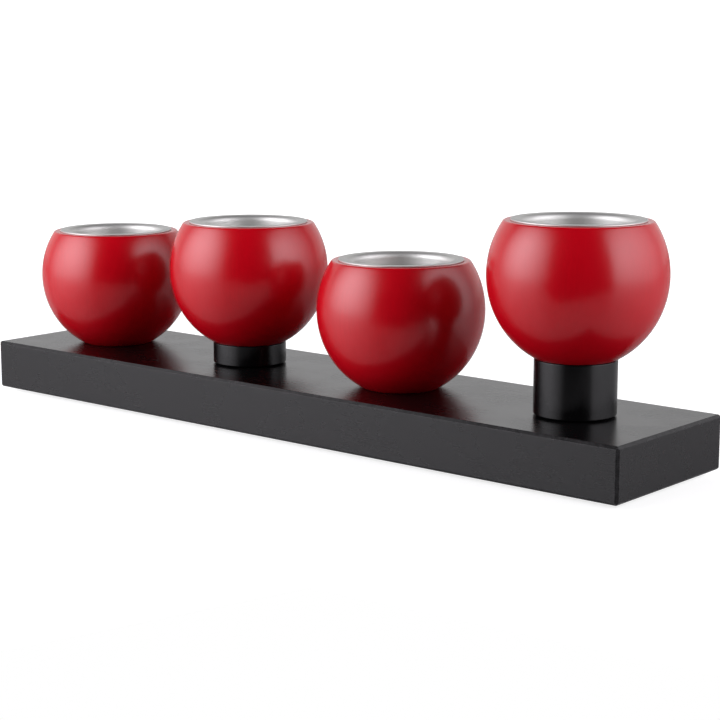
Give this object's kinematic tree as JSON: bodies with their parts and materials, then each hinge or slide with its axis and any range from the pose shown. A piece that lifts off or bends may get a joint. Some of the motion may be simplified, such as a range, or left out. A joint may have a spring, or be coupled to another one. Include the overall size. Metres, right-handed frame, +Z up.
{
  "type": "advent candle holder",
  "caption": "Long lacquered board carrying a row of turned wooden balls, some on round pedestals, each with a flanged metal cup that holds a tealight and lifts out.",
  "frame": {"origin": "on the table under the middle of the board", "axes": "+X along the board towards the ball on the tall pedestal, +Y across the board towards its back, +Z up"},
  "size_m": [0.3472, 0.0744, 0.0996],
  "materials": {
    "black_lacquer": "satin black lacquer on wood",
    "red_lacquer": "satin red lacquer on turned wood, faint grain",
    "cup_metal": "satin drawn metal",
    "screw_steel": "zinc plated",
    "felt": "pressed wool felt"
  },
  "bodies": {
    "stand": {"base_board": "black_lacquer", "pedestal_short": "black_lacquer", "pedestal_tall": "black_lacquer", "ball_1": "red_lacquer", "ball_2": "red_lacquer", "ball_3": "red_lacquer", "ball_4": "red_lacquer", "screw_1": "screw_steel", "screw_2": "screw_steel", "screw_3": "screw_steel", "screw_4": "screw_steel", "felt_pad_1": "felt", "felt_pad_2": "felt", "felt_pad_3": "felt", "felt_pad_4": "felt"},
    "cup_1": {"tealight_cup_1": "cup_metal"},
    "cup_2": {"tealight_cup_2": "cup_metal"},
    "cup_3": {"tealight_cup_3": "cup_metal"},
    "cup_4": {"tealight_cup_4": "cup_metal"}
  },
  "joints": [
    {"name": "cup_1_lift", "type": "slide", "parent": "stand", "child": "cup_1", "axis": [0, 0, 1], "range_m": [0, 0.04]},
    {"name": "cup_2_lift", "type": "slide", "parent": "stand", "child": "cup_2", "axis": [0, 0, 1], "range_m": [0, 0.04]},
    {"name": "cup_3_lift", "type": "slide", "parent": "stand", "child": "cup_3", "axis": [0, 0, 1], "range_m": [0, 0.04]},
    {"name": "cup_4_lift", "type": "slide", "parent": "stand", "child": "cup_4", "axis": [0, 0, 1], "range_m": [0, 0.04]}
  ]
}
